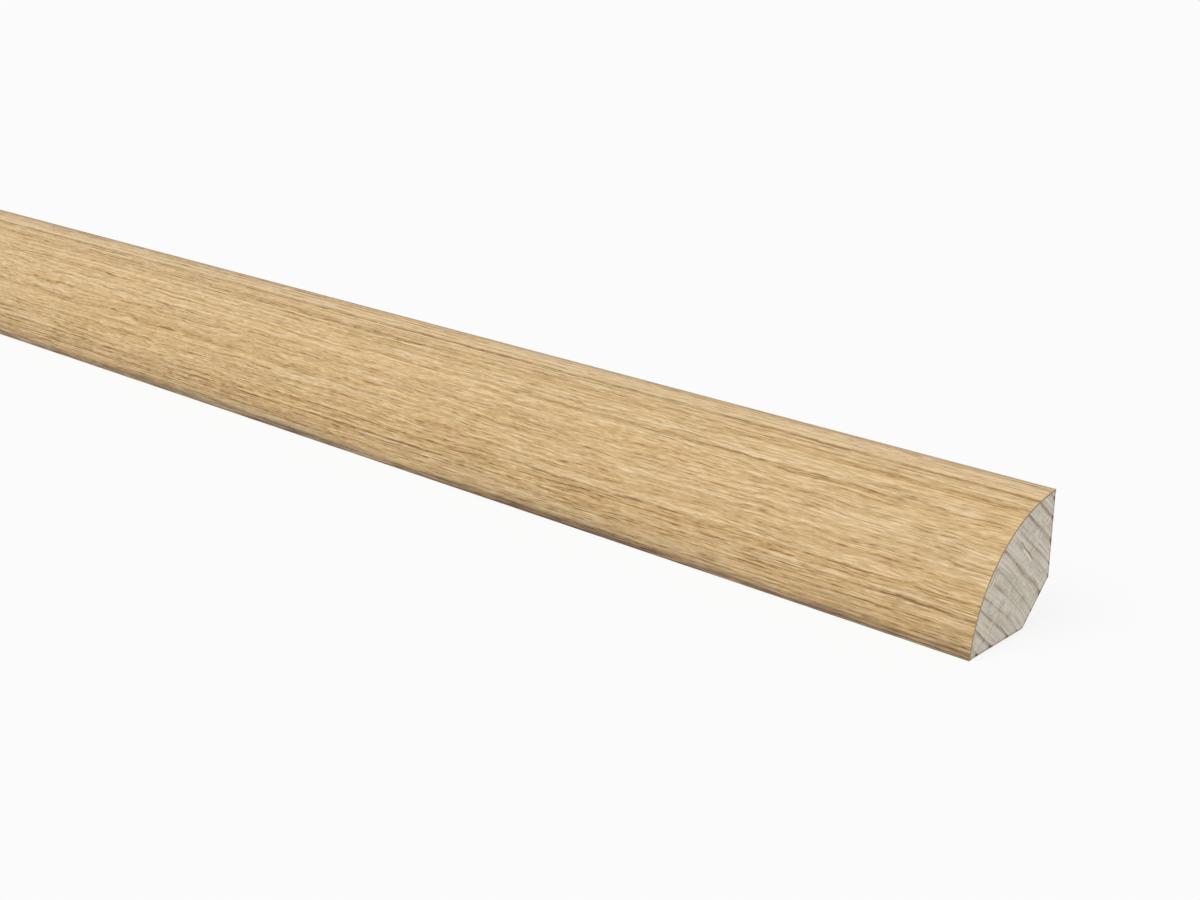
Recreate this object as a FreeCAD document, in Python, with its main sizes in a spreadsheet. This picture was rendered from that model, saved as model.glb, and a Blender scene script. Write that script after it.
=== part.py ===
import FreeCAD, Part
import enum
import math
import os

import Sketcher

# Quarter round moulding for the joint of a floor and a wall: a long softwood bar whose
# rounded face is wrapped in a thin oak veneer.
# Frame in millimetres: +X along the bar, +Y towards the wall, +Z up from the floor.
# The origin lies at the middle of the length, at floor level, midway between the toe and the wall.

# Driving dimensions
# Each row is a name, its value in millimetres, and what it measures.
DIMENSIONS = (
    ("bar_length", 2400.0, "whole bar, sawn square at both ends"),
    ("section_width", 14.0, "from the wall to the toe"),
    ("section_height", 14.0, "from the floor to the crown"),
    ("face_radius", 15.6, "rounded face, a little flatter than a true quarter circle"),
    ("veneer_thickness", 0.2, "oak veneer, the same all round the face"),
    ("wall_relief", 0.3, "how far the back leans clear of the wall at its lower edge"),
    ("floor_relief", 0.4, "how far the underside rises clear of the floor at its inner edge"),
    ("corner_cut", 4.35, "leg of the 45 degree flat that clears the joint of floor and wall"),
)

# Points of the section, in the order in which a walk round it meets them
# Toe: front edge on the floor. Crown: top edge at the wall. The two glue points are the ends of
# the line between veneer and core. The floor and wall corners are the ends of the 45 degree flat.
EDGES = {
    "floor_veneer": ("toe", "toe_glue"),
    "floor_core": ("toe_glue", "floor_corner"),
    "corner_flat": ("floor_corner", "wall_corner"),
    "wall_core": ("wall_corner", "crown_glue"),
    "wall_veneer": ("crown_glue", "crown"),
    "glue_line": ("crown_glue", "toe_glue"),
    "face": ("crown", "toe"),
}
ARCS = ("glue_line", "face")

# Pieces, each with the edges of the section that bound it
PIECES = {
    "softwood_core": ("floor_core", "corner_flat", "wall_core", "glue_line"),
    "oak_veneer": ("floor_veneer", "wall_veneer", "glue_line", "face"),
}


class PointOf(enum.IntEnum):
    """Which point of an edge a sketch constraint takes hold of."""
    START = 1
    END = 2
    CENTRE = 3


SKETCH_BASELINE = -1
SKETCH_ORIGIN = (SKETCH_BASELINE, PointOf.START)


def make_sheet(document):
    """Keep the driving dimensions in a spreadsheet, one alias to each."""
    sheet = document.addObject("Spreadsheet::Sheet", "Dimensions")
    for row, (name, value, meaning) in enumerate(DIMENSIONS, start=1):
        sheet.set(f"A{row}", name)
        sheet.set(f"B{row}", str(value))
        sheet.set(f"C{row}", meaning)
        sheet.setAlias(f"B{row}", name)
    document.recompute()
    return sheet


def arc_centre(sheet, toe, crown):
    """Centre of the face, on the wall and floor side of the line from toe to crown."""
    chord = crown - toe
    middle = (toe + crown) / 2
    reach = math.sqrt(sheet.face_radius ** 2 - (chord.Length / 2) ** 2)
    inward = FreeCAD.Vector(chord.y, -chord.x, 0).normalize()
    return middle + inward * reach


def point_at_radius(start, towards, centre, radius):
    """Where the line from start, a point outside the circle, first meets the circle."""
    direction = (towards - start).normalize()
    along = (start - centre).dot(direction)
    across = (start - centre).Length ** 2 - radius ** 2
    return start - direction * (along + math.sqrt(along ** 2 - across))


def section_points(sheet):
    """Corners of the section in the sketch, whose x is the row's Y and whose y is its Z."""
    wall = sheet.section_width / 2
    toe = FreeCAD.Vector(-wall, 0, 0)
    crown = FreeCAD.Vector(wall, sheet.section_height, 0)
    relieved_corner = FreeCAD.Vector(wall - sheet.wall_relief, sheet.floor_relief, 0)
    floor_corner = relieved_corner - FreeCAD.Vector(sheet.corner_cut, 0, 0)
    wall_corner = relieved_corner + FreeCAD.Vector(0, sheet.corner_cut, 0)
    centre = arc_centre(sheet, toe, crown)
    glue_radius = sheet.face_radius - sheet.veneer_thickness
    return {
        "toe": toe,
        "toe_glue": point_at_radius(toe, floor_corner, centre, glue_radius),
        "floor_corner": floor_corner,
        "wall_corner": wall_corner,
        "crown_glue": point_at_radius(crown, wall_corner, centre, glue_radius),
        "crown": crown,
        "centre": centre,
    }


def section_curve(points, edge):
    """One edge of the section: an arc for the face and the glue line, else a straight line."""
    start, end = (points[name] for name in EDGES[edge])
    if edge not in ARCS:
        return Part.LineSegment(start, end)
    spoke = start - points["centre"]
    other_spoke = end - points["centre"]
    circle = Part.Circle(points["centre"], FreeCAD.Vector(0, 0, 1), spoke.Length)
    start_angle = math.atan2(spoke.y, spoke.x)
    end_angle = math.atan2(other_spoke.y, other_spoke.x) % (2 * math.pi)
    return Part.ArcOfCircle(circle, start_angle, end_angle)


def bind(sketch, name, kind, references, size, expression):
    """Add a driving constraint and tie its value to the spreadsheet."""
    index = sketch.addConstraint(Sketcher.Constraint(kind, *references, size))
    sketch.renameConstraint(index, name)
    sketch.setExpression(f"Constraints.{name}", expression)


def draw_section(sketch, sheet, outline):
    """Draw the whole section; the edges that are not in the outline are construction lines."""
    points = section_points(sheet)
    index = {}
    for edge in EDGES:
        index[edge] = sketch.addGeometry(section_curve(points, edge), edge not in outline)

    # The ends of neighbouring edges are joined at the point that they share.
    ends_at = {}
    for edge, (start, end) in EDGES.items():
        ends_at.setdefault(start, []).append((index[edge], PointOf.START))
        ends_at.setdefault(end, []).append((index[edge], PointOf.END))
    for ends in ends_at.values():
        for end in ends[1:]:
            sketch.addConstraint(Sketcher.Constraint("Coincident", *ends[0], *end))
    place = {point: ends[0] for point, ends in ends_at.items()}

    # The veneer's edges lie flush in the underside and the back of the core.
    sketch.addConstraint(Sketcher.Constraint("PointOnObject", *place["toe"], index["floor_core"]))
    sketch.addConstraint(Sketcher.Constraint("PointOnObject", *place["crown"], index["wall_core"]))
    sketch.addConstraint(Sketcher.Constraint(
        "Coincident", index["face"], PointOf.CENTRE, index["glue_line"], PointOf.CENTRE))
    sketch.addConstraint(Sketcher.Constraint("PointOnObject", *place["toe"], SKETCH_BASELINE))

    bind(sketch, "toe_reach", "DistanceX", (*place["toe"], *SKETCH_ORIGIN),
         sheet.section_width / 2, "Dimensions.section_width / 2")
    bind(sketch, "section_width", "DistanceX", (*place["toe"], *place["crown"]),
         sheet.section_width, "Dimensions.section_width")
    bind(sketch, "section_height", "DistanceY", (*SKETCH_ORIGIN, *place["crown"]),
         sheet.section_height, "Dimensions.section_height")
    bind(sketch, "face_radius", "Radius", (index["face"],),
         sheet.face_radius, "Dimensions.face_radius")
    bind(sketch, "glue_radius", "Radius", (index["glue_line"],),
         sheet.face_radius - sheet.veneer_thickness,
         "Dimensions.face_radius - Dimensions.veneer_thickness")
    bind(sketch, "wall_relief", "DistanceX", (*place["wall_corner"], *place["crown"]),
         sheet.wall_relief, "Dimensions.wall_relief")
    bind(sketch, "floor_relief", "DistanceY", (*SKETCH_ORIGIN, *place["floor_corner"]),
         sheet.floor_relief, "Dimensions.floor_relief")
    bind(sketch, "corner_cut_along", "DistanceX", (*place["floor_corner"], *place["wall_corner"]),
         sheet.corner_cut, "Dimensions.corner_cut")
    bind(sketch, "corner_cut_up", "DistanceY", (*place["floor_corner"], *place["wall_corner"]),
         sheet.corner_cut, "Dimensions.corner_cut")


def origin_plane(body, role):
    """One of the body's own three origin planes."""
    return next(feature for feature in body.Origin.OriginFeatures if feature.Role == role)


def make_piece(document, sheet, label, outline):
    """A bar of one material: its outline on the plane across the bar, drawn out both ways."""
    body = document.addObject("PartDesign::Body", label)
    body.Label = label
    sketch = body.newObject("Sketcher::SketchObject", f"{label}_section")
    sketch.AttachmentSupport = (origin_plane(body, "YZ_Plane"), [""])
    sketch.MapMode = "FlatFace"
    draw_section(sketch, sheet, outline)
    pad = body.newObject("PartDesign::Pad", f"{label}_bar")
    pad.Profile = sketch
    pad.SideType = "Symmetric"
    pad.setExpression("Length", "Dimensions.bar_length")
    body.Tip = pad
    body.Placement = FreeCAD.Placement()
    return body


def check(document, bodies):
    """Stop unless every object was worked out and every piece is one sound solid."""
    for item in document.Objects:
        if "Invalid" in item.State or "Error" in item.State:
            raise RuntimeError(f"{item.Label} was not worked out: {item.State}")
    for body in bodies:
        if body.Shape.isNull() or not body.Shape.isValid() or len(body.Shape.Solids) != 1:
            raise RuntimeError(f"{body.Label} is not one sound solid")


def main():
    document = FreeCAD.newDocument("quarter_round_moulding")
    sheet = make_sheet(document)
    bodies = [make_piece(document, sheet, label, outline) for label, outline in PIECES.items()]
    document.recompute()
    check(document, bodies)
    os.makedirs("parts", exist_ok=True)
    for body in bodies:
        body.Shape.exportStep(f"parts/{body.Label}.step")
        box = body.Shape.BoundBox
        print(f"{body.Label}: {body.Shape.Volume:.1f} mm3, "
              f"{box.XLength:.2f} x {box.YLength:.2f} x {box.ZLength:.2f} mm")


main()
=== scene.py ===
import math

import bpy
import numpy as np
from mathutils import Matrix, Vector
from mathutils.geometry import delaunay_2d_cdt


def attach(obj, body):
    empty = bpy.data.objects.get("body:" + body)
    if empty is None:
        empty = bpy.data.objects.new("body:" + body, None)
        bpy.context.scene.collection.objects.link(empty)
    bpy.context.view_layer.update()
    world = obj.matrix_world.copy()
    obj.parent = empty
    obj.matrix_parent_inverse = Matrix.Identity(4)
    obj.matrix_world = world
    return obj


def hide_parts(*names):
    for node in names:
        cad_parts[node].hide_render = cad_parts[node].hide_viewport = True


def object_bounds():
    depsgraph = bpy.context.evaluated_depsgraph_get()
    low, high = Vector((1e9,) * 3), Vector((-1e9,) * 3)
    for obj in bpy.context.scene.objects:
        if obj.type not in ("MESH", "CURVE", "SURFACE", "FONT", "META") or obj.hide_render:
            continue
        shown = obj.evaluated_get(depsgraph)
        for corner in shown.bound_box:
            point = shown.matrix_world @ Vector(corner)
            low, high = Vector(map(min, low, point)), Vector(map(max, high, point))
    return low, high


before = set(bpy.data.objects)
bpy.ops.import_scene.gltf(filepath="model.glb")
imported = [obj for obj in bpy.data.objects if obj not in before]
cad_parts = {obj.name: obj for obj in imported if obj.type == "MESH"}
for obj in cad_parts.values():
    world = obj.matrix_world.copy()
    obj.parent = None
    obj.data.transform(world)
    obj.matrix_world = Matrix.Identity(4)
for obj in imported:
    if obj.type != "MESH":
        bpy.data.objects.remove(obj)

# A quarter round moulding: an oak veneered softwood bar, seen from its near end.
# Meshes are in metres, as the frame is; the fields and materials of the wood count millimetres.
MM = 0.001

# Section, read from the frame where the frame holds it
cad_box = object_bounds()
BAR_LENGTH = cad_box[1].x - cad_box[0].x
WALL_Y = cad_box[1].y
TOE_Y = cad_box[0].y
CROWN_Z = cad_box[1].z
FACE_RADIUS = 15.6 * MM
VENEER = 0.2 * MM
WALL_RELIEF = 0.3 * MM
FLOOR_RELIEF = 0.4 * MM
CORNER_CUT = 4.35 * MM

# Fineness of the meshes: steps round the section, stations along the bar, and sizes of cells
FACE_STEPS = 108
GLUE_STEPS = 36
FACE_STATIONS = 800
CORE_STATIONS = 1120
HIDDEN_STATIONS = 80
CORE_CELL = 0.42 * MM
END_CELL = 0.125 * MM

# How even the stations are, from 1 for equal steps to 0 for the most crowded ends
EVEN_STATIONS = 0.4

# Sawn ends: least gap between the outline and the grid inside it, as a share of END_CELL, the
# distance under which two points count as one, and the way to fill no more than the outline
OUTLINE_GAP = 0.55
SAME_POINT = 1e-9
INSIDE_OUTLINE = 1

# Edges that turn by more degrees than this are shaded as sharp ones
SHARP_ANGLE = 30

# Depth of the relief, all of it cut into the wood, and the small arris round a sawn end
OAK_RELIEF = 0.045 * MM
PLANED_RELIEF = 0.02 * MM
SAWN_RELIEF = 0.05 * MM
SAWN_ARRIS = 0.07 * MM

# Depth of the bump, for what is finer than the meshes
OAK_BUMP = 0.03 * MM
CUT_EDGE_BUMP = 0.02 * MM
PLANED_BUMP = 0.02 * MM
SAWN_BUMP = 0.04 * MM

# Growth of the softwood, in millimetres in the section: where the pith lies, how far from it each
# line of latewood runs, and how dark it is
PITH = (-47.6, -45.1)
LATEWOOD = (
    (54.2, 0.6), (55.9, 0.8), (57.4, 0.5), (59.1, 0.7), (60.5, 0.6), (62.1, 0.85), (63.7, 0.8),
    (65.6, 0.5), (66.8, 0.6), (68.5, 0.4), (69.8, 0.55), (71.8, 0.95), (73.6, 0.45), (74.5, 0.6),
    (76.5, 0.95), (78.4, 0.9), (80.0, 0.75), (81.8, 0.6), (83.9, 0.8), (85.8, 0.6),
)

# How far the growth lines drift across the bar for each millimetre of its length
RING_DRIFT = 0.0012

# Distance from the pith at which places round it are counted, in millimetres
RING_MIDDLE = 70.0

# Rays of the sawn ends as (weight, length, width, seed), in millimetres: length round the pith,
# width away from it
END_RAYS = ((1.0, 0.3, 2.2, 3.0), (0.8, 0.16, 0.8, 5.0))

# Step between the marks of the planer's knives, in millimetres
KNIFE_STEP = 1.6

# Painted highlight and shade of a streak in the near end: its two ends in the section, in
# millimetres
HIGHLIGHT_STREAK = ((1.0, 10.2), (3.6, 7.4))

# Dark growth lines and pale bands of the oak: place up round the face and half width, both in
# millimetres, and how much lighter or darker than the wood beside it
OAK_BANDS = (
    (2.3, 0.8, -0.09), (3.9, 0.6, -0.13), (5.4, 0.5, -0.17), (8.0, 0.5, -0.05), (12.1, 0.9, 0.05),
    (14.0, 0.6, -0.15), (15.3, 0.8, 0.11), (16.8, 0.6, -0.22), (17.6, 0.5, 0.13),
    (18.6, 0.3, -0.15), (19.4, 0.9, 0.22),
)

# How straight the oak's grain runs at each place up round the face, and how much it stands out
# there, as a share of the strongest contrast
OAK_STRAIGHTNESS = (
    (0.0, 1.0), (3.2, 0.85), (5.5, 0.4), (8.0, 0.2), (11.0, 0.05), (13.5, 0.4), (17.0, 0.9),
    (21.5, 1.0),
)
OAK_CONTRAST = (
    (0.0, 0.91), (4.0, 0.89), (7.0, 0.69), (11.0, 0.7), (15.5, 0.79), (19.0, 0.94), (21.5, 0.93),
)
STRONGEST_CONTRAST = 1.25

# Step between the oak's fine growth lines, in millimetres
RIB_STEP = 0.7

# Streaks of the oak as (weight, length, width, seed), length and width in millimetres
OAK_WAVES = ((1.6, 60.0, 8.0, 1.3), (0.6, 14.0, 2.0, 2.7), (0.45, 5.0, 2.4, 3.9))
OAK_LONG_LINES = ((0.75, 170.0, 0.2, 11.0), (0.22, 150.0, 0.6, 13.0))
OAK_SHORT_LINES = ((0.66, 10.0, 0.21, 23.0), (0.86, 2.8, 0.16, 37.0), (0.78, 1.2, 0.15, 41.0))
OAK_THREADS = ((0.28, 70.0, 0.26, 13.0), (0.2, 6.5, 0.2, 17.0), (0.25, 2.4, 0.17, 19.0))
OAK_WARM_STREAKS = ((2.4, 45.0, 1.1, 81.0), (1.8, 9.0, 0.4, 83.0))
# Patches of the painted shade along the toe
OAK_TOE_SHADE_STREAKS = ((1.0, 22.0, 1.5, 91.0), (1.3, 5.0, 0.35, 93.0), (1.5, 40.0, 0.2, 95.0))

# Colours as the eye reads them, 0 to 255
OAK_LINE = (146, 108, 66)
OAK_DARK = (186, 154, 106)
OAK_MIDDLE = (210, 180, 133)
OAK_LIGHT = (232, 206, 166)
OAK_PORE = (118, 80, 42)
OAK_FLECK = (240, 216, 174)
# Painted sheen, mixed in towards the crown of the oak face
OAK_SHEEN = (224, 208, 182)
OAK_WARMTH = (255, 248, 234)
OAK_WORN = (162, 144, 118)
OAK_CUT_EDGE = (166, 149, 122)
# Painted shade along the toe of the oak face
OAK_TOE_SHADE = (120, 112, 116)
EARLYWOOD_END = (226, 218, 203)
LATEWOOD_END = (154, 141, 120)
END_EDGE = (112, 100, 84)
# Painted highlight of the streak in the near end
STREAK_HIGHLIGHT = (236, 228, 208)
EARLYWOOD_SIDE = (230, 212, 178)
LATEWOOD_SIDE = (190, 156, 110)
RESIN_CANAL = (150, 112, 70)

# The pale floor: half its width in metres, its grey, and the share of it that the camera sees as
# plain white
FLOOR_REACH = 6.0
FLOOR_GREY = 0.8
FLOOR_WHITE_SHARE = 0.86

# Light from a white sky and two soft suns: azimuth, elevation, strength and softness of each, with
# the angles in degrees
SKY_STRENGTH = 0.45
KEY_SUN = (-20.0, 58.0, 1.5, 50.0)
FILL_SUN = (75.0, 30.0, 0.6, 60.0)

# Camera, fitted to the corners of the near end and the long edges in the photograph: sensor in
# millimetres, angles in degrees
IMAGE_WIDTH = 1200
FOCAL_PIXELS = 2065
SENSOR = 36.0
CAMERA_BEYOND_END = 99.9 * MM
CAMERA_BEFORE_WALL = 170.6 * MM
CAMERA_HEIGHT = 83.7 * MM
CAMERA_AZIMUTH = 43.57
CAMERA_ELEVATION = 18.76
CAMERA_ROLL = -0.30
CAMERA_NEAREST = 10 * MM


def linear(colour):
    """A colour written as the eye reads it, 0 to 255, as the linear light that a shader takes."""
    values = []
    for part in colour:
        share = part / 255
        values.append(share / 12.92 if share <= 0.04045 else ((share + 0.055) / 1.055) ** 2.4)
    return (*values, 1.0)


def section():
    """Corners of the section as (y, z), and the centre of its face."""
    toe = Vector((TOE_Y, 0.0))
    crown = Vector((WALL_Y, CROWN_Z))
    chord = crown - toe
    reach = math.sqrt(FACE_RADIUS ** 2 - (chord.length / 2) ** 2)
    inward = Vector((chord.y, -chord.x)).normalized()
    corner = Vector((WALL_Y - WALL_RELIEF, FLOOR_RELIEF))
    return {
        "toe": toe,
        "crown": crown,
        "floor_corner": corner - Vector((CORNER_CUT, 0.0)),
        "wall_corner": corner + Vector((0.0, CORNER_CUT)),
        "centre": (toe + crown) / 2 + inward * reach,
    }


def point_at_radius(start, towards, centre, radius):
    """Where the line from start, a point outside the circle, first meets the circle."""
    direction = (towards - start).normalized()
    along = (start - centre).dot(direction)
    across = (start - centre).length_squared - radius ** 2
    return start - direction * (along + math.sqrt(along ** 2 - across))


def arc(centre, start, end, steps):
    """Points along an arc, both ends among them."""
    first = math.atan2(start.y - centre.y, start.x - centre.x)
    last = math.atan2(end.y - centre.y, end.x - centre.x)
    radius = (start - centre).length
    points = [centre + radius * Vector((math.cos(angle), math.sin(angle)))
              for angle in np.linspace(first, last, steps + 1)]
    points[0], points[-1] = start, end
    return points


def straight(start, end, cell):
    """Points along a straight line, about a cell apart, both ends among them."""
    steps = max(round((end - start).length / cell), 1)
    return [start.lerp(end, k / steps) for k in range(steps + 1)]


SECTION = section()
GLUE_RADIUS = FACE_RADIUS - VENEER
TOE_GLUE = point_at_radius(SECTION["toe"], SECTION["floor_corner"], SECTION["centre"], GLUE_RADIUS)
CROWN_GLUE = point_at_radius(SECTION["crown"], SECTION["wall_corner"], SECTION["centre"],
                             GLUE_RADIUS)


# Mesh building


def stations(count):
    """Places along half the bar, -1 to 1, closer together towards the ends than in the middle."""
    even = np.linspace(-1, 1, count + 1)
    return EVEN_STATIONS * even + (1 - EVEN_STATIONS) * np.sin(even * math.pi / 2)


class Builder:
    """Collects vertices and faces, with a material and an inward direction for the relief."""

    def __init__(self):
        self.places = []
        self.inward = []
        self.faces = []
        self.materials = []

    def vertex(self, x, point, inward=(0.0, 0.0, 0.0)):
        self.places.append((x, point.x, point.y))
        self.inward.append(tuple(inward))
        return len(self.places) - 1

    def face(self, corners, material=0):
        loop = [corner for k, corner in enumerate(corners) if corner != corners[k - 1]]
        self.faces.append(loop)
        self.materials.append(material)

    def column(self, point, count, end=0.0, inward=(0.0, 0.0, 0.0)):
        """Vertices along the bar at one place of its section, stopping short of both ends by end.
        Returns them by station."""
        half = BAR_LENGTH / 2 - end
        return [self.vertex(x * half, point, inward if 0 < k < count else (0.0, 0.0, 0.0))
                for k, x in enumerate(stations(count))]

    def strip(self, left, right, material=0):
        """Faces between two columns, of which one may have several stations to the other's one.
        Seen from outside the wood, with the bar's +X to the right, the left column is above."""
        cells = min(len(left), len(right)) - 1
        left_step = (len(left) - 1) // cells
        right_step = (len(right) - 1) // cells
        for k in range(cells):
            along_left = left[k * left_step:(k + 1) * left_step + 1]
            along_right = right[k * right_step:(k + 1) * right_step + 1]
            self.face(along_left[::-1] + along_right, material)

    def mesh(self, name):
        mesh = bpy.data.meshes.new(name)
        mesh.from_pydata(self.places, [], self.faces)
        mesh.polygons.foreach_set("material_index", self.materials)
        relief = mesh.attributes.new("inward", "FLOAT_VECTOR", "POINT")
        relief.data.foreach_set("vector", np.array(self.inward, dtype=np.float32).ravel())
        mesh.validate()
        return mesh


def veneer_mesh():
    """The veneer: its fine outer face, its two trimmed edges, its glued side and its sawn ends."""
    build = Builder()
    outer_points = arc(SECTION["centre"], SECTION["toe"], SECTION["crown"], FACE_STEPS)
    inner_points = arc(SECTION["centre"], TOE_GLUE, CROWN_GLUE, GLUE_STEPS)
    outer = []
    for k, point in enumerate(outer_points):
        towards_centre = (SECTION["centre"] - point).normalized()
        share = 1.0 if 0 < k < FACE_STEPS else 0.0
        inward = (0.0, towards_centre.x * share, towards_centre.y * share)
        outer.append(build.column(point, FACE_STATIONS, inward=inward))
    inner = [build.column(point, HIDDEN_STATIONS) for point in inner_points]
    for lower, upper in zip(outer, outer[1:]):
        build.strip(upper, lower)
    for lower, upper in zip(inner, inner[1:]):
        build.strip(lower, upper, 1)
    build.strip(outer[0], inner[0], 1)
    build.strip(inner[-1], outer[-1], 1)
    share = FACE_STEPS // GLUE_STEPS
    for k in range(GLUE_STEPS):
        group = outer[k * share:(k + 1) * share + 1]
        build.face([inner[k + 1][0], inner[k][0]] + [column[0] for column in group], 1)
        build.face([inner[k][-1], inner[k + 1][-1]] + [column[-1] for column in group[::-1]], 1)
    return build.mesh("oak_face")


def core_profile():
    """The open outline of the core from the toe glue point round to the crown glue point.

    Each entry is a point, the direction into the wood, and how much of the relief it takes."""
    corners = [TOE_GLUE, SECTION["floor_corner"], SECTION["wall_corner"], CROWN_GLUE]
    profile = []
    for start, end in zip(corners, corners[1:]):
        direction = (end - start).normalized()
        into_wood = Vector((-direction.y, direction.x))
        points = straight(start, end, CORE_CELL)
        for k, point in enumerate(points[:-1]):
            profile.append([point, into_wood, 1.0 if k else 0.0])
    profile.append([CROWN_GLUE, into_wood, 0.0])
    return profile


def rim_points(profile):
    """The outline of the sawn end, drawn in by the arris, which runs out at the glue points."""
    rim = []
    for k, (point, into_wood, _) in enumerate(profile):
        if k in (0, len(profile) - 1):
            rim.append(point)
            continue
        before = profile[k - 1][1]
        bisector = (before + into_wood).normalized()
        reach = SAWN_ARRIS / max(bisector.dot(into_wood), 0.5)
        rim.append(point + bisector * reach)
    return rim


def end_grid(outline):
    """Points inside a convex outline, on a grid of triangles."""
    ring = np.array([tuple(point) for point in outline])
    edges = np.roll(ring, -1, axis=0) - ring
    lengths = np.linalg.norm(edges, axis=1)
    low, high = ring.min(axis=0), ring.max(axis=0)
    row_step = END_CELL * math.sqrt(3) / 2
    grid = []
    for row, z in enumerate(np.arange(low[1], high[1], row_step)):
        shift = END_CELL / 2 if row % 2 else 0.0
        grid += [(y, z) for y in np.arange(low[0] + shift, high[0], END_CELL)]
    grid = np.array(grid)
    offset = grid[:, None, :] - ring[None, :, :]
    depth = (edges[None, :, 0] * offset[..., 1] - edges[None, :, 1] * offset[..., 0]) / lengths
    return [Vector(point) for point in grid[depth.min(axis=1) > END_CELL * OUTLINE_GAP]]


def core_mesh():
    """The softwood bar: planed faces, the glued face under the veneer and the two sawn ends."""
    build = Builder()
    profile = core_profile()
    rim = rim_points(profile)
    last = len(profile) - 1
    columns = []
    for k, (point, into_wood, share) in enumerate(profile):
        end = 0.0 if k in (0, last) else SAWN_ARRIS
        inward = (0.0, into_wood.x * share, into_wood.y * share)
        columns.append(build.column(point, CORE_STATIONS, end=end, inward=inward))
    for left, right in zip(columns, columns[1:]):
        build.strip(left, right)
    glue_points = arc(SECTION["centre"], TOE_GLUE, CROWN_GLUE, GLUE_STEPS)
    glued = [build.column(point, HIDDEN_STATIONS) for point in glue_points[1:-1]]
    glued = [columns[0], *glued, columns[-1]]
    for left, right in zip(glued, glued[1:]):
        build.strip(right, left)

    # The rim of each end, then the sawn face inside it
    for end, sign in ((-1, 1.0), (0, -1.0)):
        x = sign * BAR_LENGTH / 2
        rim_loop = [columns[k][end] if k in (0, last) else build.vertex(x, rim[k])
                    for k in range(last + 1)]
        for k in range(last):
            corners = [columns[k][end], rim_loop[k], rim_loop[k + 1], columns[k + 1][end]]
            build.face(corners[::-1] if sign > 0 else corners, 1)
        arc_loop = [column[end] for column in glued[1:-1]][::-1]
        outline = rim_loop + arc_loop
        outline_points = rim + glue_points[1:-1][::-1]
        inside = end_grid(outline_points)
        numbers = outline + [build.vertex(x, point, (-sign, 0.0, 0.0)) for point in inside]
        count = len(outline)
        border = [(k, (k + 1) % count) for k in range(count)]
        _, _, triangles, origins, _, _ = delaunay_2d_cdt(
            outline_points + inside, border, [], INSIDE_OUTLINE, SAME_POINT)
        for triangle in triangles:
            corners = [numbers[origins[corner][0]] for corner in triangle]
            build.face(corners if sign > 0 else corners[::-1], 1)
    return build.mesh("softwood_bar")


# Fields of the wood, written once for the relief and for the colour


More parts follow.
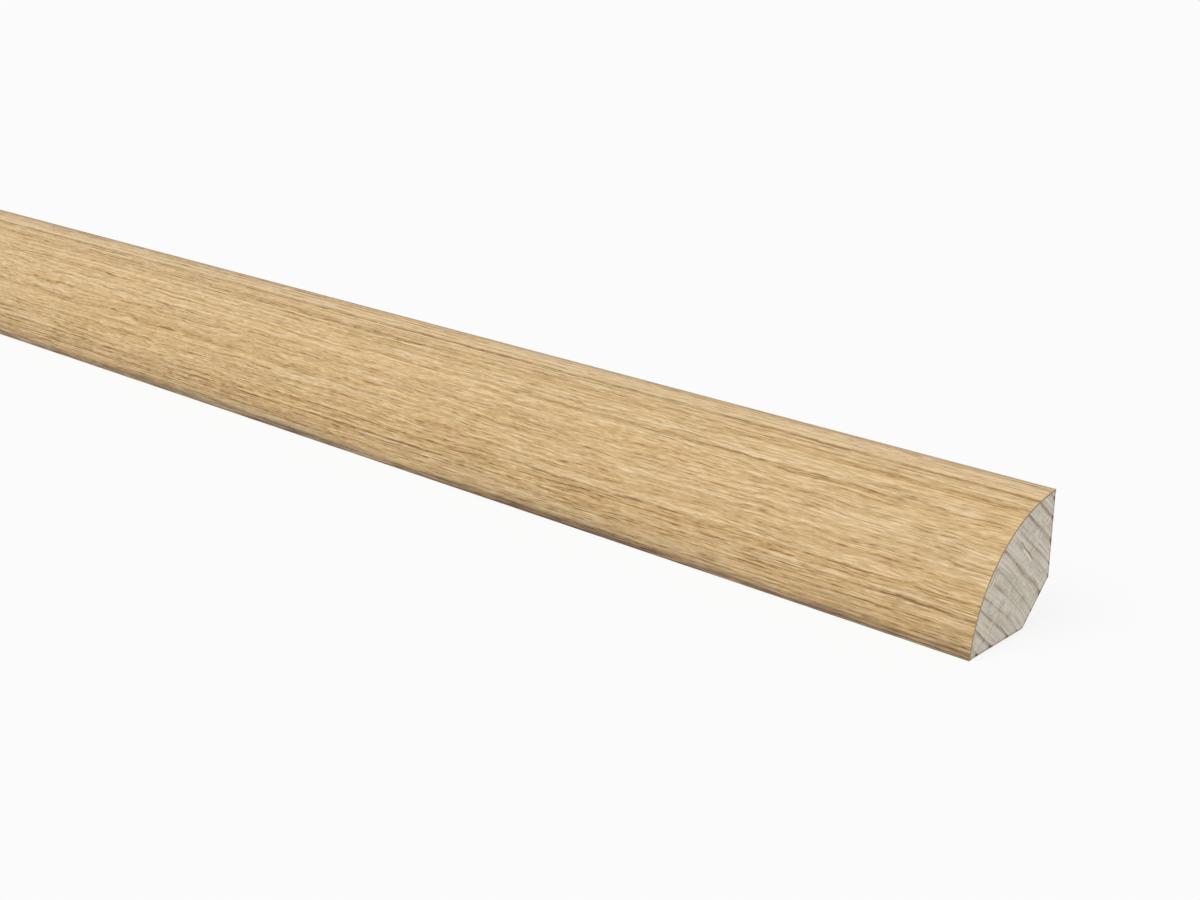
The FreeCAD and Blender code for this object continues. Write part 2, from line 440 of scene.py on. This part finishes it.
class Nodes:
    """Adds nodes to a shader tree or a geometry tree; both know the same sums and noises."""

    def __init__(self, tree):
        self.tree = tree

    def add(self, kind, settings=None, inputs=None):
        node = self.tree.nodes.new(kind)
        for name, value in (settings or {}).items():
            setattr(node, name, value)
        for name, value in (inputs or {}).items():
            self.feed(value, node.inputs[name])
        return node

    def feed(self, value, socket):
        if isinstance(value, bpy.types.NodeSocket):
            self.tree.links.new(value, socket)
        else:
            socket.default_value = value

    def sum(self, operation, *values, clamp=False):
        node = self.add("ShaderNodeMath", {"operation": operation, "use_clamp": clamp})
        for value, socket in zip(values, node.inputs):
            self.feed(value, socket)
        return node.outputs[0]

    def total(self, *terms):
        """Sum of (weight, value) terms."""
        result = 0.0
        for weight, value in terms:
            result = self.sum("MULTIPLY_ADD", value, weight, result)
        return result

    def clamped(self, value):
        """The value, kept within 0 to 1."""
        return self.sum("ADD", value, 0.0, clamp=True)

    def place(self, x, y, z):
        return self.add("ShaderNodeCombineXYZ", inputs={"X": x, "Y": y, "Z": z}).outputs[0]

    def apart(self, vector):
        return self.add("ShaderNodeSeparateXYZ", inputs={"Vector": vector}).outputs

    def scaled(self, vector, factor):
        node = self.add("ShaderNodeVectorMath", {"operation": "SCALE"},
                        {"Vector": vector, "Scale": factor})
        return node.outputs[0]

    def noise(self, vector, detail=1.0):
        """Smooth noise about 0, most of it within -0.3 to 0.3."""
        node = self.add("ShaderNodeTexNoise", {"noise_dimensions": "3D"},
                        {"Vector": vector, "Scale": 1.0, "Detail": detail, "Roughness": 0.5})
        return self.sum("SUBTRACT", node.outputs[0], 0.5)

    def drawn_out(self, along, around, length, width, seed):
        """Coordinates that draw a pattern out: length and width of its cells in millimetres."""
        return self.place(self.sum("DIVIDE", along, length), self.sum("DIVIDE", around, width),
                          seed)

    def streaks(self, along, around, length, width, seed, detail=1.0):
        """Noise drawn out along the bar, about 0."""
        return self.noise(self.drawn_out(along, around, length, width, seed), detail)

    def layers(self, along, around, kinds, level=0.0, detail=1.0):
        """Streaks of several kinds, each (weight, length, width, seed), added up on a level."""
        terms = [(weight, self.streaks(along, around, length, width, seed, detail))
                 for weight, length, width, seed in kinds]
        return self.total(*terms, (1.0, level))

    def dashes(self, along, around, length, width, seed):
        """Cells drawn out along the bar: distance from the cell's heart, and a number of its own,
        0 to 1."""
        vector = self.drawn_out(along, around, length, width, seed)
        cells = self.add("ShaderNodeTexVoronoi", {"voronoi_dimensions": "3D"},
                         {"Vector": vector, "Scale": 1.0})
        return cells.outputs["Distance"], self.apart(cells.outputs["Color"])[0]

    def curve(self, value, points):
        """The height for each value; points are (place, height) pairs, straight between them."""
        first, last = points[0][0], points[-1][0]
        node = self.add("ShaderNodeFloatCurve")
        line = node.mapping.curves[0].points
        line[0].location, line[-1].location = (0.0, points[0][1]), (1.0, points[-1][1])
        for place, height in points[1:-1]:
            line.new((place - first) / (last - first), height)
        for point in line:
            point.handle_type = "VECTOR"
        node.mapping.update()
        share = self.sum("DIVIDE", self.sum("SUBTRACT", value, first), last - first)
        self.feed(share, node.inputs["Value"])
        return node.outputs[0]

    def step(self, value, low, high):
        """0 up to low, 1 from high on, smooth between; with low above high it runs down instead."""
        node = self.add("ShaderNodeMapRange", {"interpolation_type": "SMOOTHSTEP"},
                        {"Value": value, "From Min": low, "From Max": high})
        return node.outputs[0]


def oak_around(point):
    """Millimetres round the face, from the level of its centre up to a point of it."""
    centre = SECTION["centre"]
    return math.atan2(point.y - centre.y, centre.x - point.x) * FACE_RADIUS / MM


def oak_places(nodes, position):
    """Millimetres along the bar and up round the face, the second also bent as the grain is,
    and how straight the grain runs there: 1 near the toe and the crown, 0 between them."""
    x, y, z = nodes.apart(nodes.scaled(position, 1 / MM))
    centre = SECTION["centre"] / MM
    forward = nodes.sum("SUBTRACT", centre.x, y)
    upward = nodes.sum("SUBTRACT", z, centre.y)
    from_centre = nodes.sum("MULTIPLY", nodes.sum("ARCTAN2", upward, forward), FACE_RADIUS / MM)
    around = nodes.sum("SUBTRACT", from_centre, oak_around(SECTION["toe"]))
    straightness = nodes.curve(around, OAK_STRAIGHTNESS)
    waves = nodes.layers(x, around, OAK_WAVES, detail=0.0)
    bend = nodes.sum("MULTIPLY", waves, nodes.total((-1.0, straightness), (1.0, 1.2)))
    return x, around, nodes.sum("ADD", around, bend), straightness


def oak_lines(nodes, along, grain, straightness):
    """Height of the grain lines, about 0.5 with most of it within 0 to 1. The long lines stand out
    where the grain runs straight, the short ones a little more where it doesn't."""
    long_lines = nodes.layers(along, grain, OAK_LONG_LINES)
    short_lines = nodes.layers(along, grain, OAK_SHORT_LINES)
    long_share = nodes.total((1.15, straightness), (1.0, 0.2))
    short_share = nodes.total((-0.3, straightness), (1.0, 1.1))
    return nodes.total((1.0, nodes.sum("MULTIPLY", long_lines, long_share)),
                       (1.0, nodes.sum("MULTIPLY", short_lines, short_share)), (1.0, 0.47))


def oak_threads(nodes, along, grain):
    """Threads of the oak with crisp edges, each darker or lighter than the next, about 0."""
    terms = [(weight, nodes.dashes(along, grain, length, width, seed)[1])
             for weight, length, width, seed in OAK_THREADS]
    middle = sum(weight for weight, *_ in OAK_THREADS) / 2
    return nodes.total(*terms, (1.0, -middle))


def oak_ribs(nodes, along, grain, straightness):
    """Fine growth lines at even steps, strongest where the grain runs straight, about 0."""
    wander = nodes.streaks(along, grain, 35.0, 1.5, 29.0)
    fading = nodes.total((2.0, nodes.streaks(along, grain, 14.0, 0.7, 31.0)), (1.0, 1.0))
    wave = nodes.sum("SINE", nodes.total((2 * math.pi / RIB_STEP, grain), (5.0, wander)))
    strength = nodes.sum("MULTIPLY", fading, nodes.total((0.8, straightness), (1.0, 0.2)))
    return nodes.sum("MULTIPLY", wave, strength)


def oak_bands(nodes, grain):
    """Dark growth lines and pale bands that run along the whole bar, about 0."""
    bands = 0.0
    for place, half_width, lighter in OAK_BANDS:
        away = nodes.sum("ABSOLUTE", nodes.sum("SUBTRACT", grain, place))
        bands = nodes.sum("MULTIPLY_ADD", nodes.step(away, half_width, 0.0), lighter, bands)
    return bands


def ring_places(nodes, position):
    """The growth ring at each place: distance from the pith, share of the ring reached there and
    darkness of its latewood. The place itself comes with it, all in millimetres."""
    x, y, z = nodes.apart(nodes.scaled(position, 1 / MM))
    sway = nodes.streaks(x, 0.0, 260.0, 1.0, 5.0)
    across = nodes.sum("SUBTRACT", y, PITH[0])
    up = nodes.sum("SUBTRACT", z, PITH[1])
    radius = nodes.sum("POWER", nodes.total((1.0, nodes.sum("MULTIPLY", across, across)),
                                            (1.0, nodes.sum("MULTIPLY", up, up))), 0.5)
    shifted = nodes.place(nodes.sum("DIVIDE", x, 18.0), y, z)
    wobble = nodes.noise(nodes.scaled(shifted, 0.16), 0.0)
    ragged = nodes.noise(nodes.scaled(shifted, 1.3), 2.0)
    radius = nodes.total((1.0, radius), (0.9, wobble), (0.09, ragged), (1.6, sway),
                         (RING_DRIFT, nodes.sum("SUBTRACT", x, BAR_LENGTH / 2 / MM)))
    rings = len(LATEWOOD) - 1
    count = nodes.curve(radius, [(distance, k / rings) for k, (distance, _) in enumerate(LATEWOOD)])
    ring = nodes.sum("FRACT", nodes.sum("MULTIPLY", count, float(rings)))
    return (radius, ring, nodes.curve(radius, LATEWOOD)), (x, y, z)


def latewood(nodes, ring):
    """How dark a ring is at each share of it: it darkens slowly outwards, and starts again at
    once, with a trace of the last ring's darkness."""
    rise = nodes.sum("POWER", nodes.step(ring, 0.55, 0.96), 2.5)
    fall = nodes.step(ring, 1.0, 0.97)
    trace = nodes.sum("MULTIPLY", nodes.step(ring, 0.07, 0.0), 0.4)
    return nodes.total((1.0, nodes.sum("MULTIPLY", rise, fall)), (1.0, trace))


def fibres(nodes, x, y, z, length=6.0, width=0.16, detail=2.0):
    """Noise through the solid wood, drawn out along the bar: length and width in millimetres."""
    return nodes.noise(nodes.place(nodes.sum("DIVIDE", x, length), nodes.sum("DIVIDE", y, width),
                                   nodes.sum("DIVIDE", z, width)), detail)


def oak_height(nodes, position):
    """Height of the oak's relief, 0 to 1: its dark lines are its hollows."""
    along, _, grain, straightness = oak_places(nodes, position)
    return nodes.clamped(oak_lines(nodes, along, grain, straightness))


def softwood_height(nodes, position):
    """Height of the softwood's relief, 0 to 1: its latewood stands out."""
    (_, ring, _), (x, y, z) = ring_places(nodes, position)
    late = latewood(nodes, ring)
    return nodes.clamped(nodes.total((0.55, late), (0.6, fibres(nodes, x, y, z)), (1.0, 0.3)))


def carve(mesh, height, side_depth, end_depth):
    """Cut the relief into a mesh along its inward directions, and return the finished mesh."""
    tree = bpy.data.node_groups.new("relief", "GeometryNodeTree")
    tree.interface.new_socket("Geometry", in_out="INPUT", socket_type="NodeSocketGeometry")
    tree.interface.new_socket("Geometry", in_out="OUTPUT", socket_type="NodeSocketGeometry")
    nodes = Nodes(tree)
    start = nodes.add("NodeGroupInput")
    finish = nodes.add("NodeGroupOutput")
    position = nodes.add("GeometryNodeInputPosition").outputs[0]
    inward = nodes.add("GeometryNodeInputNamedAttribute", {"data_type": "FLOAT_VECTOR"},
                       {"Name": "inward"}).outputs["Attribute"]
    facing_end = nodes.sum("ABSOLUTE", nodes.apart(inward)[0])
    depth = nodes.total((end_depth - side_depth, facing_end), (1.0, side_depth))
    hollow = nodes.sum("SUBTRACT", 1.0, height(nodes, position))
    offset = nodes.scaled(inward, nodes.sum("MULTIPLY", hollow, depth))
    move = nodes.add("GeometryNodeSetPosition",
                     inputs={"Geometry": start.outputs[0], "Offset": offset})
    nodes.feed(move.outputs[0], finish.inputs[0])

    rough = bpy.data.objects.new("rough", mesh)
    bpy.context.scene.collection.objects.link(rough)
    rough.modifiers.new("relief", "NODES").node_group = tree
    ready = rough.evaluated_get(bpy.context.evaluated_depsgraph_get())
    carved = bpy.data.meshes.new_from_object(ready)
    bpy.data.objects.remove(rough)
    bpy.data.meshes.remove(mesh)
    bpy.data.node_groups.remove(tree)
    carved.attributes.remove(carved.attributes["inward"])
    carved.shade_smooth()
    carved.set_sharp_from_angle(angle=math.radians(SHARP_ANGLE))
    return carved


# Materials


def new_material(name, roughness, specular):
    """An empty wood material: its nodes, its shader and its place in the object."""
    material = bpy.data.materials.new(name)
    material.use_nodes = True
    nodes = Nodes(material.node_tree)
    shader = material.node_tree.nodes["Principled BSDF"]
    shader.inputs["Roughness"].default_value = roughness
    shader.inputs["Specular IOR Level"].default_value = specular
    position = nodes.add("ShaderNodeTexCoord").outputs["Object"]
    return material, nodes, shader, position


def blend_colours(nodes, share, first, second, way="MIX"):
    """First colour where share is 0, second where it is 1. The mix node has a set of sockets for
    each kind of value, so the colour ones are picked by kind."""
    mix = nodes.add("ShaderNodeMix", {"data_type": "RGBA", "blend_type": way})
    sockets = [socket for socket in mix.inputs if socket.type == "RGBA"]
    nodes.feed(share, mix.inputs[0])
    nodes.feed(first, sockets[0])
    nodes.feed(second, sockets[1])
    return next(socket for socket in mix.outputs if socket.type == "RGBA")


def ramp(nodes, value, stops):
    """A colour for each value; stops are (place, colour) pairs in rising order."""
    node = nodes.add("ShaderNodeValToRGB", inputs={"Fac": value})
    elements = node.color_ramp.elements
    elements[0].position, elements[0].color = stops[0][0], linear(stops[0][1])
    elements[1].position, elements[1].color = stops[-1][0], linear(stops[-1][1])
    for place, colour in stops[1:-1]:
        elements.new(place).color = linear(colour)
    return node.outputs["Color"]


def bump(nodes, shader, height, distance):
    """Let the shader see a height of 1 as a rise of that distance, in metres."""
    node = nodes.add("ShaderNodeBump",
                     inputs={"Height": height, "Distance": distance, "Strength": 1.0})
    nodes.feed(node.outputs[0], shader.inputs["Normal"])


def oak_sheen_shade_and_wear(nodes, colour, along, around):
    """The oak's colour, with a painted sheen towards the crown, patchy painted shade along the toe
    and the arris at the crown a little worn. Places are millimetres up round the face."""
    crown = oak_around(SECTION["crown"]) - oak_around(SECTION["toe"])
    # Painted sheen: the face turns paler towards the crown
    upper = nodes.step(around, crown - 4.5, crown - 0.8)
    colour = blend_colours(nodes, nodes.sum("MULTIPLY", upper, 0.12), colour, linear(OAK_SHEEN))
    # Painted shade along the toe, broken into patches
    near_toe = nodes.total((0.15, nodes.step(around, 4.2, 0.6)),
                           (0.6, nodes.step(around, 1.5, 0.2)))
    patchy = nodes.layers(along, around, OAK_TOE_SHADE_STREAKS, 1.0)
    toe_shade = nodes.sum("MULTIPLY", near_toe, patchy, clamp=True)
    colour = blend_colours(nodes, toe_shade, colour, linear(OAK_TOE_SHADE), "MULTIPLY")
    near_crown = nodes.step(around, crown - 0.45, crown - 0.2)
    worn = nodes.sum("MULTIPLY", near_crown, 0.65)
    return blend_colours(nodes, worn, colour, linear(OAK_WORN))


def oak_face_material():
    """Rift cut oak: long bands, wavy lines, fine threads, short dark pores and pale flecks."""
    material, nodes, shader, position = new_material("oak face", 0.5, 0.45)
    along, around, grain, straightness = oak_places(nodes, position)
    lines = oak_lines(nodes, along, grain, straightness)
    fading = nodes.total((1.2, nodes.streaks(along, grain, 90.0, 1.6, 61.0)), (1.0, 0.85))
    drift = nodes.streaks(along, grain, 240.0, 2.2, 51.0)
    banding = nodes.sum("MULTIPLY", fading, oak_bands(nodes, grain))
    threads = oak_threads(nodes, along, grain)
    fibre = nodes.streaks(along, grain, 2.2, 0.055, 71.0, 2.0)
    ribs = oak_ribs(nodes, along, grain, straightness)
    tone = nodes.total((1.0, lines), (1.0, threads), (0.3, drift), (1.0, banding), (0.07, ribs),
                       (0.58, fibre), (-1.0, 0.5))
    contrast = nodes.sum("MULTIPLY", nodes.curve(around, OAK_CONTRAST), STRONGEST_CONTRAST)
    tone = nodes.sum("MULTIPLY_ADD", tone, contrast, 0.5)
    colour = ramp(nodes, tone, ((0.0, OAK_LINE), (0.2, OAK_DARK), (0.5, OAK_MIDDLE),
                                (0.8, OAK_LIGHT)))

    # Pores crowd where the wood is dark, pale flecks where it is light.
    lighter = nodes.sum("SUBTRACT", tone, 0.5)
    depth, chance = nodes.dashes(along, grain, 11.0, 0.42, 3.0)
    chosen = nodes.step(nodes.total((1.0, chance), (-1.2, lighter)), 0.62, 0.72)
    ragged = nodes.total((1.0, depth), (0.22, fibre))
    pore = nodes.sum("MULTIPLY", nodes.step(ragged, 0.22, 0.13), chosen)
    colour = blend_colours(nodes, nodes.sum("MULTIPLY", pore, 0.4), colour, linear(OAK_PORE))
    depth, chance = nodes.dashes(along, grain, 6.0, 0.45, 9.0)
    chosen = nodes.step(nodes.total((1.0, chance), (0.8, lighter)), 0.7, 0.8)
    fleck = nodes.sum("MULTIPLY", nodes.step(depth, 0.28, 0.1), chosen)
    colour = blend_colours(nodes, nodes.sum("MULTIPLY", fleck, 0.5), colour, linear(OAK_FLECK))

    # The hue drifts between warmer and cooler wood, apart from how light it is.
    warmth = nodes.clamped(nodes.layers(along, grain, OAK_WARM_STREAKS, 0.5))
    colour = blend_colours(nodes, warmth, colour, linear(OAK_WARMTH), "MULTIPLY")
    nodes.feed(oak_sheen_shade_and_wear(nodes, colour, along, around), shader.inputs["Base Color"])
    roughness = nodes.total((-0.12, lines), (0.15, pore), (1.0, 0.55))
    nodes.feed(roughness, shader.inputs["Roughness"])
    height = nodes.total((0.45, lines), (0.4, threads), (-0.6, pore), (0.35, fibre))
    bump(nodes, shader, height, OAK_BUMP)
    return material


def oak_edge_material():
    """The veneer's cut edges, darkened by the glue and the saw."""
    material, nodes, shader, position = new_material("oak cut edge", 0.7, 0.2)
    x, y, z = nodes.apart(nodes.scaled(position, 1 / MM))
    speckle = fibres(nodes, x, y, z, 1.5, 0.2)
    colour = blend_colours(nodes, nodes.total((1.2, speckle), (1.0, 0.15)), linear(OAK_CUT_EDGE),
                           linear(OAK_LINE))
    nodes.feed(colour, shader.inputs["Base Color"])
    bump(nodes, shader, speckle, CUT_EDGE_BUMP)
    return material


def softwood_side_material():
    """Planed softwood: growth lines and fibres that run along the bar, and a few resin canals."""
    material, nodes, shader, position = new_material("softwood long grain", 0.65, 0.25)
    (_, ring, _), (x, y, z) = ring_places(nodes, position)
    late = latewood(nodes, ring)
    fibre = fibres(nodes, x, y, z)
    cloud = fibres(nodes, x, y, z, 40.0, 1.1, 1.0)
    strand = fibres(nodes, x, y, z, 14.0, 0.4, 1.0)
    share = nodes.total((0.75, late), (0.8, fibre), (0.5, strand), (0.5, cloud), (1.0, 0.15))
    colour = blend_colours(nodes, nodes.clamped(share), linear(EARLYWOOD_SIDE),
                           linear(LATEWOOD_SIDE))
    depth, chance = nodes.dashes(x, nodes.sum("ADD", y, z), 7.0, 0.35, 12.0)
    canal = nodes.sum("MULTIPLY", nodes.step(depth, 0.2, 0.1), nodes.step(chance, 0.82, 0.9))
    colour = blend_colours(nodes, nodes.sum("MULTIPLY", canal, 0.5), colour, linear(RESIN_CANAL))
    nodes.feed(colour, shader.inputs["Base Color"])
    ripple = nodes.sum("SINE", nodes.sum("MULTIPLY", x, 2 * math.pi / KNIFE_STEP))
    height = nodes.total((0.6, late), (0.6, fibre), (0.12, ripple), (-0.4, canal))
    bump(nodes, shader, height, PLANED_BUMP)
    return material


def rim_distance(nodes, y, z):
    """Millimetres from the nearest of the section's three straight edges."""
    corners = [SECTION["toe"], SECTION["floor_corner"], SECTION["wall_corner"], SECTION["crown"]]
    nearest = None
    for start, end in zip(corners, corners[1:]):
        direction = (end - start).normalized()
        into_wood = Vector((-direction.y, direction.x))
        offset = -start.dot(into_wood) / MM
        distance = nodes.total((into_wood.x, y), (into_wood.y, z), (offset, 1.0))
        nearest = distance if nearest is None else nodes.sum("MINIMUM", nearest, distance)
    return nearest


def streak_highlight_and_shade(nodes, x, y, z):
    """A streak's painted highlight in the near end, and the thin painted shade it runs beside,
    lower down.
    """
    start, end = (Vector(point) for point in HIGHLIGHT_STREAK)
    direction = (end - start).normalized()
    length = (end - start).length
    bends = nodes.place(nodes.sum("MULTIPLY", y, 0.9), nodes.sum("MULTIPLY", z, 0.9), 6.0)
    wander = nodes.noise(bends)
    along = nodes.total((direction.x, y), (direction.y, z), (-start.dot(direction), 1.0))
    normal = Vector((-direction.y, direction.x))
    across = nodes.total((normal.x, y), (normal.y, z), (-start.dot(normal), 1.0), (0.4, wander))
    from_middle = nodes.sum("ABSOLUTE", nodes.sum("SUBTRACT", along, length / 2))
    inside = nodes.sum("MULTIPLY", nodes.step(from_middle, length / 2, length / 2 - 0.5),
                       nodes.sum("GREATER_THAN", x, 0.0))
    dark = nodes.sum("MULTIPLY", nodes.step(nodes.sum("ABSOLUTE", across), 0.14, 0.04), inside)
    beside = nodes.sum("ABSOLUTE", nodes.sum("ADD", across, 0.24))
    lower = nodes.sum("MULTIPLY", nodes.step(along, 0.8, 1.5), inside)
    pale = nodes.sum("MULTIPLY", nodes.step(beside, 0.17, 0.06), lower)
    return pale, dark


def softwood_end_material():
    """Sawn end grain: growth lines, rays across them, a fine open texture and a dark rim."""
    material, nodes, shader, position = new_material("softwood end grain", 0.8, 0.15)
    (radius, ring, darkness), (x, y, z) = ring_places(nodes, position)
    late = latewood(nodes, ring)
    across = nodes.sum("SUBTRACT", y, PITH[0])
    up = nodes.sum("SUBTRACT", z, PITH[1])
    tangent = nodes.sum("MULTIPLY", nodes.sum("ARCTAN2", up, across), RING_MIDDLE)

    # Rays show in some places of the sawn face, fine growth lines in the others.
    rayed = nodes.step(nodes.streaks(y, z, 2.2, 2.2, 10.0), -0.08, 0.1)
    rays = nodes.layers(tangent, radius, END_RAYS)
    rays = nodes.sum("MULTIPLY", rays, nodes.total((1.15, rayed), (1.0, 0.15)))
    lines = nodes.streaks(tangent, radius, 5.0, 0.26, 9.0)
    lines = nodes.sum("MULTIPLY", lines, nodes.total((-1.0, rayed), (1.0, 1.3)))

    uneven = nodes.streaks(tangent, radius, 2.0, 3.0, 7.0)
    late = nodes.sum("MULTIPLY", late, nodes.total((1.2, uneven), (1.25, darkness)), clamp=True)
    zones = nodes.streaks(tangent, radius, 9.0, 1.3, 8.0)
    patches = nodes.streaks(y, z, 1.1, 1.1, 8.0, 2.0)
    grains = nodes.streaks(y, z, 0.24, 0.24, 4.0, 2.0)
    # The streak in the near end is a painted highlight with painted shade beside it
    pale, dark = streak_highlight_and_shade(nodes, x, y, z)
    texture = nodes.total((0.85, rays), (0.65, zones), (1.15, lines), (0.2, patches), (0.6, grains))
    share = nodes.total((0.6, late), (1.0, texture), (0.55, dark), (1.0, 0.19))
    colour = blend_colours(nodes, nodes.clamped(share), linear(EARLYWOOD_END),
                           linear(LATEWOOD_END))
    colour = blend_colours(nodes, nodes.sum("MULTIPLY", pale, 0.9), colour, linear(STREAK_HIGHLIGHT))

    # The sawn end is darker in a thin band along its rim, darker still and a little wider in its
    # latewood.
    from_rim = nodes.total((1.0, rim_distance(nodes, y, z)), (0.3, grains), (-0.16, late))
    rim_darkness = nodes.total((0.6, late), (1.0, 0.55))
    rim = nodes.sum("MULTIPLY", nodes.step(from_rim, 0.32, 0.08), rim_darkness, clamp=True)
    colour = blend_colours(nodes, rim, colour, linear(END_EDGE))
    nodes.feed(colour, shader.inputs["Base Color"])
    height = nodes.total((0.5, late), (0.6, rays), (0.5, lines), (0.5, grains), (-0.5, dark))
    bump(nodes, shader, height, SAWN_BUMP)
    return material


# Pieces and stage


def add_piece(name, mesh, materials, node):
    """Put a finished mesh in the scene in place of its CAD node."""
    mesh.name = name
    for material in materials:
        mesh.materials.append(material)
    piece = bpy.data.objects.new(name, mesh)
    bpy.context.scene.collection.objects.link(piece)
    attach(piece, "root")
    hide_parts(node)


def add_floor():
    """A pale floor that keeps the shadow and looks nearly white to the camera."""
    mesh = bpy.data.meshes.new("floor")
    corners = [(x * FLOOR_REACH, y * FLOOR_REACH, 0)
               for x, y in ((-1, -1), (1, -1), (1, 1), (-1, 1))]
    mesh.from_pydata(corners, [], [(0, 1, 2, 3)])
    floor = bpy.data.objects.new("floor", mesh)
    bpy.context.scene.collection.objects.link(floor)
    material = bpy.data.materials.new("pale floor")
    material.use_nodes = True
    nodes = Nodes(material.node_tree)
    material.node_tree.nodes.remove(material.node_tree.nodes["Principled BSDF"])
    output = material.node_tree.nodes["Material Output"]
    path = nodes.add("ShaderNodeLightPath").outputs
    seen = nodes.sum("MAXIMUM", path["Is Camera Ray"],
                     nodes.sum("MAXIMUM", path["Is Glossy Ray"], path["Is Transmission Ray"]))
    grey = (FLOOR_GREY, FLOOR_GREY, FLOOR_GREY, 1)
    matt = nodes.add("ShaderNodeBsdfDiffuse", inputs={"Color": grey})
    white = nodes.add("ShaderNodeEmission", inputs={"Color": (1, 1, 1, 1), "Strength": 1.0})
    mix = nodes.add("ShaderNodeMixShader")
    nodes.feed(nodes.sum("MULTIPLY", seen, FLOOR_WHITE_SHARE), mix.inputs[0])
    nodes.feed(matt.outputs[0], mix.inputs[1])
    nodes.feed(white.outputs[0], mix.inputs[2])
    nodes.feed(mix.outputs[0], output.inputs["Surface"])
    mesh.materials.append(material)


def add_sun(name, azimuth, elevation, strength, softness):
    """A soft lamp far away, so that the whole length of the bar is lit alike. The azimuth is
    counted from the front towards the near end."""
    lamp = bpy.data.lights.new(name, "SUN")
    lamp.energy = strength
    lamp.angle = math.radians(softness)
    holder = bpy.data.objects.new(name, lamp)
    turn = math.radians(azimuth)
    rise = math.radians(elevation)
    level = math.cos(rise)
    towards = Vector((math.sin(turn) * level, -math.cos(turn) * level, math.sin(rise)))
    holder.rotation_euler = towards.to_track_quat("Z", "Y").to_euler()
    bpy.context.scene.collection.objects.link(holder)


def add_light():
    """The white sky and the two suns."""
    world = bpy.data.worlds.new("studio")
    world.use_nodes = True
    background = world.node_tree.nodes["Background"]
    background.inputs["Color"].default_value = (1.0, 1.0, 1.0, 1.0)
    background.inputs["Strength"].default_value = SKY_STRENGTH
    bpy.context.scene.world = world
    add_sun("key", *KEY_SUN)
    add_sun("fill", *FILL_SUN)


def add_camera():
    """The photograph's camera: beyond the near end, in front of the bar and above it."""
    camera = bpy.data.cameras.new("camera")
    camera.sensor_width = SENSOR
    camera.lens = FOCAL_PIXELS / IMAGE_WIDTH * SENSOR
    camera.clip_start = CAMERA_NEAREST
    holder = bpy.data.objects.new("camera", camera)
    turn = Matrix.Rotation(math.radians(CAMERA_AZIMUTH), 4, "Z")
    tilt = Matrix.Rotation(math.radians(90 - CAMERA_ELEVATION), 4, "X")
    roll = Matrix.Rotation(math.radians(CAMERA_ROLL), 4, "Z")
    place = Vector((BAR_LENGTH / 2 + CAMERA_BEYOND_END, WALL_Y - CAMERA_BEFORE_WALL, CAMERA_HEIGHT))
    holder.matrix_world = Matrix.Translation(place) @ turn @ tilt @ roll
    bpy.context.scene.collection.objects.link(holder)
    bpy.context.scene.camera = holder


def main():
    oak = carve(veneer_mesh(), oak_height, OAK_RELIEF, OAK_RELIEF)
    add_piece("oak_face", oak, (oak_face_material(), oak_edge_material()), "oak_veneer")
    core = carve(core_mesh(), softwood_height, PLANED_RELIEF, SAWN_RELIEF)
    add_piece("softwood_bar", core, (softwood_side_material(), softwood_end_material()),
              "softwood_core")
    add_floor()
    add_light()
    add_camera()
    bpy.context.scene.view_settings.view_transform = "Standard"


main()
